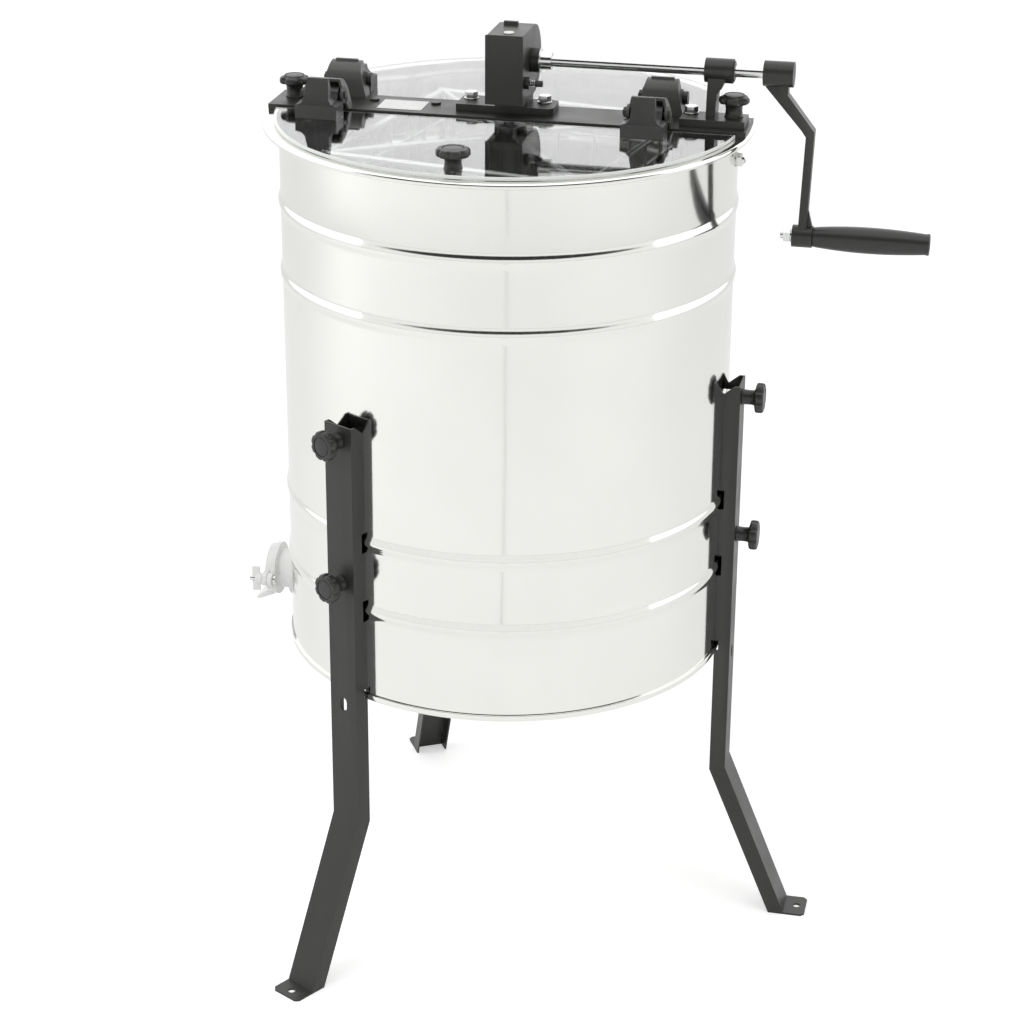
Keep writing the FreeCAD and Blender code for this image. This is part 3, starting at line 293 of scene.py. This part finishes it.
def piece(name, build, finish, body, nodes, place=None, sharp=40):
    """Turn a bmesh into a smooth-shaded piece that rides on a body and stands for CAD nodes."""
    mesh = bpy.data.meshes.new(name)
    bmesh.ops.recalc_face_normals(build, faces=build.faces)
    build.to_mesh(mesh)
    build.free()
    for polygon in mesh.polygons:
        polygon.use_smooth = True
    mesh.set_sharp_from_angle(angle=math.radians(sharp))
    mesh.materials.append(finish)
    item = bpy.data.objects.new(name, mesh)
    bpy.context.scene.collection.objects.link(item)
    if place:
        item.matrix_world = place
    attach(item, body)
    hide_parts(*nodes)
    return item


def arc(middle, radius, start, end, steps):
    """Points of an arc in a profile, angles in degrees."""
    angles = [math.radians(start + (end - start) * step / steps) for step in range(steps + 1)]
    return [(middle[0] + radius * math.cos(angle), middle[1] + radius * math.sin(angle)) for angle in angles]


def lathe(profile, segments=256):
    """A closed profile of (radius, height) millimetres turned about Z."""
    build = bmesh.new()
    rings = []
    for radius, height in profile:
        if radius < 1e-6:
            rings.append([build.verts.new((0, 0, height * MM))])
            continue
        ring = []
        for step in range(segments):
            angle = 2 * math.pi * step / segments
            across, along = radius * MM * math.cos(angle), radius * MM * math.sin(angle)
            ring.append(build.verts.new((across, along, height * MM)))
        rings.append(ring)
    for first, second in zip(rings, rings[1:] + rings[:1]):
        for step in range(segments):
            corners = [first[step % len(first)], first[(step + 1) % len(first)],
                       second[(step + 1) % len(second)], second[step % len(second)]]
            unique = list(dict.fromkeys(corners))
            if len(unique) > 2:
                build.faces.new(unique)
    return build


# ---------------------------------------------------------------- drum

DRUM_RADIUS = 250.0
SHEET = 1.0
DRUM_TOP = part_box("drum_wall")[1].z / MM
DRUM_BOTTOM = 341.4
BEADS = (448, 529, 783, 863)
BEAD_HALF = 10.0
BEAD_SWELL = 2.45
BEAD_STEPS = 16
RIM_ROLL = 3.2
RIM_MIDDLE = 263.8
RIM_BEND = 2.0
FLANGE_END = 260.2
SEAM_HEIGHT = 6.0
SEAM_ROUND = 1.2
SEAM_OUTER = 251.0
SEAM_INNER = 249.0
FLOOR_EDGE = 240.0
FLOOR_HOLE = 14.0


def bead_line(radius, beads, direction):
    """A wall line with soft outward beads, from bottom to top (1) or top to bottom (-1)."""
    line = []
    for middle in beads[::direction]:
        for step in range(-BEAD_STEPS, BEAD_STEPS + 1):
            offset = step / BEAD_STEPS * BEAD_HALF * direction
            swell = BEAD_SWELL * math.cos(math.pi * offset / (2 * BEAD_HALF)) ** 2
            line.append((radius + swell, middle + offset))
    return line


def drum_wall():
    """The rolled wall with its beads, the flange and the rolled rim."""
    inner = DRUM_RADIUS - SHEET
    bend = (DRUM_RADIUS + RIM_BEND, DRUM_TOP - SHEET - RIM_BEND)
    roll = (RIM_MIDDLE, DRUM_TOP - RIM_ROLL)
    profile = [(DRUM_RADIUS, DRUM_BOTTOM)] + bead_line(DRUM_RADIUS, BEADS, 1)
    profile += arc(bend, RIM_BEND, 180, 90, 5)
    profile += [(FLANGE_END, DRUM_TOP - SHEET)] + arc(roll, RIM_ROLL, 215, 450, 20)
    profile += arc((inner + RIM_BEND + SHEET, DRUM_TOP - RIM_BEND - SHEET), RIM_BEND + SHEET, 90, 180, 6)
    profile += bead_line(inner, BEADS, -1) + [(inner, DRUM_BOTTOM)]
    return lathe(profile)


def drum_floor():
    """The dished floor and the folded seam round the foot of the wall."""
    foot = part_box("drum_floor")[0].z / MM
    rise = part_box("drum_floor")[1].z / MM
    seam_top = DRUM_BOTTOM + SEAM_HEIGHT
    profile = [(249.5, seam_top), (SEAM_OUTER, seam_top)]
    profile += arc((SEAM_OUTER, seam_top - SEAM_ROUND), SEAM_ROUND, 90, 0, 4)
    profile += arc((SEAM_OUTER, foot + SEAM_ROUND), SEAM_ROUND, 0, -90, 4)
    profile += arc((SEAM_INNER, foot + SEAM_ROUND), SEAM_ROUND, -90, -180, 4)
    profile += [(247.6, DRUM_BOTTOM + 3.6), (FLOOR_EDGE, DRUM_BOTTOM + 4.6), (FLOOR_HOLE, rise - 1.2)]
    profile += [(FLOOR_HOLE, rise), (FLOOR_EDGE, seam_top), (248.8, DRUM_BOTTOM + 5.4)]
    return lathe(profile)


piece("drum_wall_sheet", drum_wall(), DRUM_STEEL, "root", ["drum_wall"])
piece("drum_floor_sheet", drum_floor(), DRUM_STEEL, "root", ["drum_floor"])


# ---------------------------------------------------------------- lids

LID_RADIUS = 255 * MM
LID_GAP = 36 * MM
LID_STEPS = 180
LID_ROUNDING = ((0.5, 0.0), (0.12, 0.15), (0.0, 0.5))


def lid_sheet(side):
    """Half of the lid: a sheet with a straight edge beside the bar and a round one on the rim."""
    low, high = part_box("lid_front" if side < 0 else "lid_rear")
    thick = (high.z - low.z) / MM
    start = math.asin(LID_GAP / LID_RADIUS)
    angles = [start + (math.pi - 2 * start) * step / LID_STEPS for step in range(LID_STEPS + 1)]
    upper = [(inset, thick - height) for inset, height in reversed(LID_ROUNDING)]
    build = bmesh.new()
    rings = []
    for inset, height in [*LID_ROUNDING, *upper]:
        reach = LID_RADIUS - inset * MM
        ring = [(reach * math.cos(angle), reach * math.sin(angle)) for angle in angles]
        ring = [(along, max(out, LID_GAP + inset * MM)) for along, out in ring]
        rings.append([build.verts.new((along, side * out, low.z + height * MM)) for along, out in ring])
    for first, second in zip(rings, rings[1:]):
        for step in range(len(first)):
            following = (step + 1) % len(first)
            edge = build.faces.new([first[step], first[following], second[following], second[step]])
            edge.material_index = 1
    build.faces.new(rings[0])
    build.faces.new(rings[-1])
    return build


for side, name in ((-1, "front"), (1, "rear")):
    sheet = piece(f"lid_{name}_sheet", lid_sheet(side), CLEAR_PLASTIC, f"{name}_lid", [f"lid_{name}"],
                  sharp=30)
    sheet.data.materials.append(LID_EDGE)
    for big_face in sheet.data.polygons[-2:]:
        big_face.use_smooth = False


# ---------------------------------------------------------------- star knobs

# Knob sizes are radius, neck and reach from the seat, in millimetres.
LOBE_STEPS = 20
LEG_AZIMUTHS = {1: 0, 2: 120, 3: 240}
LEG_KNOB_HEIGHTS = {"low": 481, "high": 647}
LEG_KNOB_SEAT = 267.8
LEG_KNOB_SIZE = (16.8, 8.7, 24.5)
BAR_KNOBS = {"left": (-244, 7), "right": (245.5, 0)}
BAR_KNOB_SIZE = (16.5, 9.6, 24)
LID_KNOB = (-7, -229.6)
LID_KNOB_SIZE = (17.8, 9.3, 21.3)


def star_knob(radius, neck, reach, lobes=8, depth=0.1, phase=0.0, crown=0.0):
    """A moulded knob along +Z from its seat: a neck, a lobed head and a set-in cap."""
    under = reach * 0.6
    profile = [(neck * 1.05, 0.0), (neck * 1.05, 1.0), (neck * 0.98, 1.8), (neck * 0.94, under * 0.5),
               (neck * 0.97, under - 2.4), (neck + 0.8, under - 0.9), (radius * 0.72, under - 0.2)]
    profile += arc((radius - 2.6, under + 2.6), 2.6, -80, 0, 6)
    profile += arc((radius - 3.4, reach - crown - 3.4), 3.4, 8, 78, 7)
    profile += [(radius * 0.72, reach - 0.6 * crown - 0.05), (radius * 0.655, reach - 0.1),
                (radius * 0.645, reach - 1.1), (radius * 0.605, reach - 1.15),
                (radius * 0.595, reach - 0.45), (radius * 0.55, reach - 0.25), (0.0, reach - 0.2)]
    build = bmesh.new()
    count = lobes * LOBE_STEPS
    rings = []
    for out, along in profile:
        ring = []
        share = max(0.0, min(1.0, (out - radius * 0.66) / (radius * 0.3)))
        for step in range(count):
            angle = 2 * math.pi * step / count
            hollow = max(0.0, math.cos(lobes * (angle - phase))) ** 1.3
            spoke = (out - share * depth * radius * hollow) * MM
            ring.append(build.verts.new((spoke * math.cos(angle), spoke * math.sin(angle), along * MM)))
            if out == 0.0:
                break
        rings.append(ring)
    for first, second in zip(rings, rings[1:]):
        for step in range(count):
            corners = [first[step], first[(step + 1) % count],
                       second[(step + 1) % len(second)], second[step % len(second)]]
            build.faces.new(list(dict.fromkeys(corners)))
    build.faces.new(rings[0])
    return build


def facing(place, direction):
    """A placement at a point, with local Z along a direction."""
    turn = Vector(direction).to_track_quat("Z", "Y").to_matrix().to_4x4()
    return Matrix.Translation(Vector(place)) @ turn


for leg, azimuth in LEG_AZIMUTHS.items():
    outward = Vector((math.cos(math.radians(azimuth)), math.sin(math.radians(azimuth)), 0))
    for height_name, height in LEG_KNOB_HEIGHTS.items():
        seat = outward * LEG_KNOB_SEAT * MM + Vector((0, 0, height * MM))
        name = f"leg_knob_{leg}_{height_name}"
        piece(name + "_moulded", star_knob(*LEG_KNOB_SIZE), BLACK_PLASTIC, name, [name],
              facing(seat, outward))

for name, (along, across) in BAR_KNOBS.items():
    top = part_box(f"bar_knob_{name}")[1].z
    seat = Vector((along * MM, across * MM, top - BAR_KNOB_SIZE[-1] * MM))
    knob = star_knob(*BAR_KNOB_SIZE, lobes=5, depth=0.2, phase=-math.pi / 2, crown=2.0)
    piece(f"bar_knob_{name}_moulded", knob, BLACK_PLASTIC, f"{name}_bar_knob", [f"bar_knob_{name}"],
          facing(seat, (0, 0, 1)))

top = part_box("lid_knob")[1].z
seat = Vector((LID_KNOB[0] * MM, LID_KNOB[1] * MM, top - LID_KNOB_SIZE[-1] * MM))
piece("lid_knob_moulded", star_knob(*LID_KNOB_SIZE), BLACK_PLASTIC, "front_lid", ["lid_knob"],
      facing(seat, (0, 0, 1)))


# ---------------------------------------------------------------- crank grip

GRIP_LENGTH = 125.0
GRIP_SHOULDER = 9.9
GRIP_WAIST = 10.7
GRIP_SWELL = 3.3
GRIP_BORE = 4.1
GRIP_POCKET = 7.4
POCKET_DEPTH = 6.4
GRIP_STEPS = 40


def grip():
    """A turned grip: shoulder at the boss, fuller towards its end, and a pocket for the bolt's head."""
    profile = [(GRIP_BORE, 0.0), (GRIP_SHOULDER, 0.0)] + arc((GRIP_SHOULDER, 0.8), 0.8, -90, 0, 3)
    for step in range(1, GRIP_STEPS):
        share = step / GRIP_STEPS
        swell = GRIP_WAIST + GRIP_SWELL * math.sin(math.pi * min(1.0, share * 1.02) ** 0.95) ** 0.9
        profile.append((swell + 0.5 * share, 0.8 + share * (GRIP_LENGTH - 2.4)))
    profile += arc((10.4, GRIP_LENGTH - 1.4), 1.4, 0, 90, 4)
    profile += [(GRIP_POCKET, GRIP_LENGTH), (GRIP_POCKET, GRIP_LENGTH - POCKET_DEPTH),
                (GRIP_BORE, GRIP_LENGTH - POCKET_DEPTH)]
    return lathe(profile, 96)


grip_low, grip_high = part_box("crank_grip")
grip_middle = (grip_low + grip_high) / 2
piece("crank_grip_turned", grip(), BLACK_PLASTIC, "grip", ["crank_grip"],
      facing((grip_low.x, grip_middle.y, grip_middle.z), (1, 0, 0)))


# ---------------------------------------------------------------- brake spring

SPRING_RADIUS = 3.4
SPRING_WIRE = 0.42
SPRING_PITCH = 1.9
SPRING_LENGTH = 4.9
TURN_STEPS = 32
WIRE_STEPS = 12


def coil(radius, wire, pitch, length):
    """A coil of round wire along +X, from the middle of the wire at X = 0, with closed ends."""
    build = bmesh.new()
    rings = []
    for step in range(round(length / pitch * TURN_STEPS) + 1):
        angle = 2 * math.pi * step / TURN_STEPS
        out = Vector((0, math.cos(angle), math.sin(angle)))
        tangent = Vector((pitch / (2 * math.pi), -radius * out.z, radius * out.y)).normalized()
        middle = Vector((pitch * step / TURN_STEPS, 0, 0)) + radius * out
        ring = []
        for turn in range(WIRE_STEPS):
            around = 2 * math.pi * turn / WIRE_STEPS
            spot = middle + wire * (math.cos(around) * out + math.sin(around) * tangent.cross(out))
            ring.append(build.verts.new(spot * MM))
        rings.append(ring)
    for first, second in zip(rings, rings[1:]):
        for turn in range(WIRE_STEPS):
            following = (turn + 1) % WIRE_STEPS
            build.faces.new([first[turn], first[following], second[following], second[turn]])
    build.faces.new(rings[0])
    build.faces.new(rings[-1])
    return build


spring_low, spring_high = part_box("brake_spring")
spring_middle = (spring_low + spring_high) / 2
spring_start = Vector((spring_low.x + SPRING_WIRE * MM, spring_middle.y, spring_middle.z))
spring_slot = NODE_SLOTS["brake_spring"]
spring = piece("brake_spring_coil", coil(SPRING_RADIUS, SPRING_WIRE, SPRING_PITCH, SPRING_LENGTH),
               SLOT_MATERIALS[spring_slot], "root", ["brake_spring"],
               Matrix.Translation(spring_start))
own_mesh(spring)


# ---------------------------------------------------------------- stage, light and camera

# The ring of mirrored walls: its radius, the heights of its bands and how it is centred and cut, in degrees.
WALL_DISTANCE = 8.25
WALL_SPLIT = 3.45
WALL_TOP = 12.3
WALL_MIDDLE = -77.7
WALL_SPAN = 150
WALL_PARTS = 12
FLOOR_REACH = 9
TRIPOD_SHADE = [(0.217, -1.25, 0.001), (0.230, -1.245, 0.001), (0.624, -2.9, 0.001), (0.602, -2.91, 0.001)]

# The floor's glow for rays that see it, what the camera's own rays add, and the world's light, plain and seen.
FLOOR_MIRRORED = 0.25
FLOOR_SEEN = 0.21
WORLD_LIGHT = 0.62
WORLD_SEEN = 1.4


def see_through_white(tree):
    """1 for camera, glossy and transmission rays, for what stands behind the object."""
    path = tree.nodes.new("ShaderNodeLightPath")
    total = path.outputs["Is Camera Ray"]
    for ray in ("Is Glossy Ray", "Is Transmission Ray"):
        node = tree.nodes.new("ShaderNodeMath")
        node.operation = "MAXIMUM"
        tree.links.new(total, node.inputs[0])
        tree.links.new(path.outputs[ray], node.inputs[1])
        total = node.outputs["Value"]
    return total


def mirrored_only(tree, shader):
    """Let only mirrored rays meet a surface."""
    path = tree.nodes.new("ShaderNodeLightPath")
    tree.links.new(path.outputs["Is Glossy Ray"], shader.inputs["Alpha"])


def stage_plane(name, corners, material):
    """A flat piece of the stage through the given corners."""
    build = bmesh.new()
    build.faces.new([build.verts.new(corner) for corner in corners])
    mesh = bpy.data.meshes.new(name)
    build.to_mesh(mesh)
    build.free()
    mesh.materials.append(material)
    item = bpy.data.objects.new(name, mesh)
    bpy.context.scene.collection.objects.link(item)


def floor_material():
    """A white floor that keeps the object's shadow."""
    material = bpy.data.materials.new("studio_floor")
    material.use_nodes = True
    tree = material.node_tree
    shader = tree.nodes["Principled BSDF"]
    shader.inputs["Base Color"].default_value = (0.86, 0.86, 0.86, 1)
    shader.inputs["Roughness"].default_value = 0.9
    shader.inputs["Specular IOR Level"].default_value = 0.1
    shader.inputs["Emission Color"].default_value = (1, 1, 1, 1)
    path = tree.nodes.new("ShaderNodeLightPath")
    mirrored = tree.nodes.new("ShaderNodeMath")
    mirrored.operation = "MULTIPLY"
    mirrored.inputs[1].default_value = FLOOR_MIRRORED
    tree.links.new(see_through_white(tree), mirrored.inputs[0])
    seen = tree.nodes.new("ShaderNodeMath")
    seen.operation = "MULTIPLY_ADD"
    seen.inputs[1].default_value = FLOOR_SEEN
    tree.links.new(path.outputs["Is Camera Ray"], seen.inputs[0])
    tree.links.new(mirrored.outputs["Value"], seen.inputs[2])
    tree.links.new(seen.outputs["Value"], shader.inputs["Emission Strength"])
    return material


def mirrored_wall(name, colour, glow, low, high):
    """A band of a studio wall in front of the object that only mirrored rays meet."""
    material = bpy.data.materials.new(name)
    material.use_nodes = True
    shader = material.node_tree.nodes["Principled BSDF"]
    shader.inputs["Base Color"].default_value = (*colour, 1)
    shader.inputs["Roughness"].default_value = 0.9
    shader.inputs["Emission Color"].default_value = (1, 1, 1, 1)
    shader.inputs["Emission Strength"].default_value = glow
    mirrored_only(material.node_tree, shader)
    edges = []
    for step in range(WALL_PARTS + 1):
        angle = math.radians(WALL_MIDDLE + WALL_SPAN * (step / WALL_PARTS - 0.5))
        edges.append((WALL_DISTANCE * math.cos(angle), WALL_DISTANCE * math.sin(angle)))
    for number, (first, second) in enumerate(zip(edges, edges[1:]), 1):
        stage_plane(f"{name}_{number}", [(*first, low), (*second, low), (*second, high), (*first, high)],
                    material)


def shade_material():
    """Grey for the strip of shadow on the floor that only mirrored rays meet."""
    material = bpy.data.materials.new("tripod_shade")
    material.use_nodes = True
    shader = material.node_tree.nodes["Principled BSDF"]
    shader.inputs["Base Color"].default_value = (0.55, 0.55, 0.55, 1)
    mirrored_only(material.node_tree, shader)
    return material


def make_world():
    """Even white light, brighter where it is seen, mirrored or looked through."""
    world = bpy.data.worlds.new("studio")
    world.use_nodes = True
    tree = world.node_tree
    background = tree.nodes["Background"]
    background.inputs["Color"].default_value = (1, 1, 1, 1)
    level = tree.nodes.new("ShaderNodeMapRange")
    level.inputs["To Min"].default_value = WORLD_LIGHT
    level.inputs["To Max"].default_value = WORLD_SEEN
    tree.links.new(see_through_white(tree), level.inputs["Value"])
    tree.links.new(level.outputs["Result"], background.inputs["Strength"])
    bpy.context.scene.world = world


def lamp(name, place, target, size, power):
    """A square soft lamp that no mirrored ray meets."""
    light = bpy.data.lights.new(name, "AREA")
    light.shape = "SQUARE"
    light.size = size
    light.energy = power
    item = bpy.data.objects.new(name, light)
    bpy.context.scene.collection.objects.link(item)
    item.visible_glossy = False
    item.matrix_world = facing(place, Vector(place) - Vector(target))


# The camera's place in metres, its angles in radians and its focal length in pixels of a 1024 px picture.
CAMERA_PLACE = (0.603474, -2.746961, 1.685425)
CAMERA_YAW = 0.214179
CAMERA_PITCH = 0.404491
CAMERA_ROLL = 0.0059003
FOCAL_PIXELS = 2645.0348
PICTURE_PIXELS = 1024
SENSOR = 36


def make_camera():
    """The photograph's viewpoint: yaw to the left, pitch down and a slight roll."""
    forward = Vector((-math.sin(CAMERA_YAW) * math.cos(CAMERA_PITCH),
                      math.cos(CAMERA_YAW) * math.cos(CAMERA_PITCH),
                      -math.sin(CAMERA_PITCH)))
    right = Vector((math.cos(CAMERA_YAW), math.sin(CAMERA_YAW), 0))
    up = right.cross(forward)
    across = math.cos(CAMERA_ROLL) * right + math.sin(CAMERA_ROLL) * up
    upward = -math.sin(CAMERA_ROLL) * right + math.cos(CAMERA_ROLL) * up
    camera = bpy.data.cameras.new("camera")
    camera.sensor_width = SENSOR
    camera.lens = FOCAL_PIXELS / PICTURE_PIXELS * SENSOR
    camera.clip_end = 60
    item = bpy.data.objects.new("camera", camera)
    bpy.context.scene.collection.objects.link(item)
    turn = Matrix((across, upward, -forward)).transposed().to_4x4()
    item.matrix_world = Matrix.Translation(CAMERA_PLACE) @ turn
    bpy.context.scene.camera = item


make_camera()
make_world()
stage_plane("floor", [(-FLOOR_REACH, -FLOOR_REACH, 0), (FLOOR_REACH, -FLOOR_REACH, 0),
                      (FLOOR_REACH, FLOOR_REACH, 0), (-FLOOR_REACH, FLOOR_REACH, 0)], floor_material())
mirrored_wall("pale_wall", (0.1, 0.1, 0.1), 0.9, 0.0, WALL_SPLIT)
mirrored_wall("dark_wall", (0.03, 0.03, 0.03), 0.0, WALL_SPLIT, WALL_TOP)
stage_plane("tripod_shade", TRIPOD_SHADE, shade_material())
lamp("key", (-1.8, -2.2, 3.4), (0, 0, 0.6), size=2.2, power=36)
lamp("fill", (2.6, -1.2, 2.4), (0, 0, 0.7), size=2.0, power=18)
lamp("side", (-2.9, -0.9, 1.1), (0, 0, 0.6), size=1.2, power=7)
bpy.context.scene.view_settings.view_transform = "Standard"
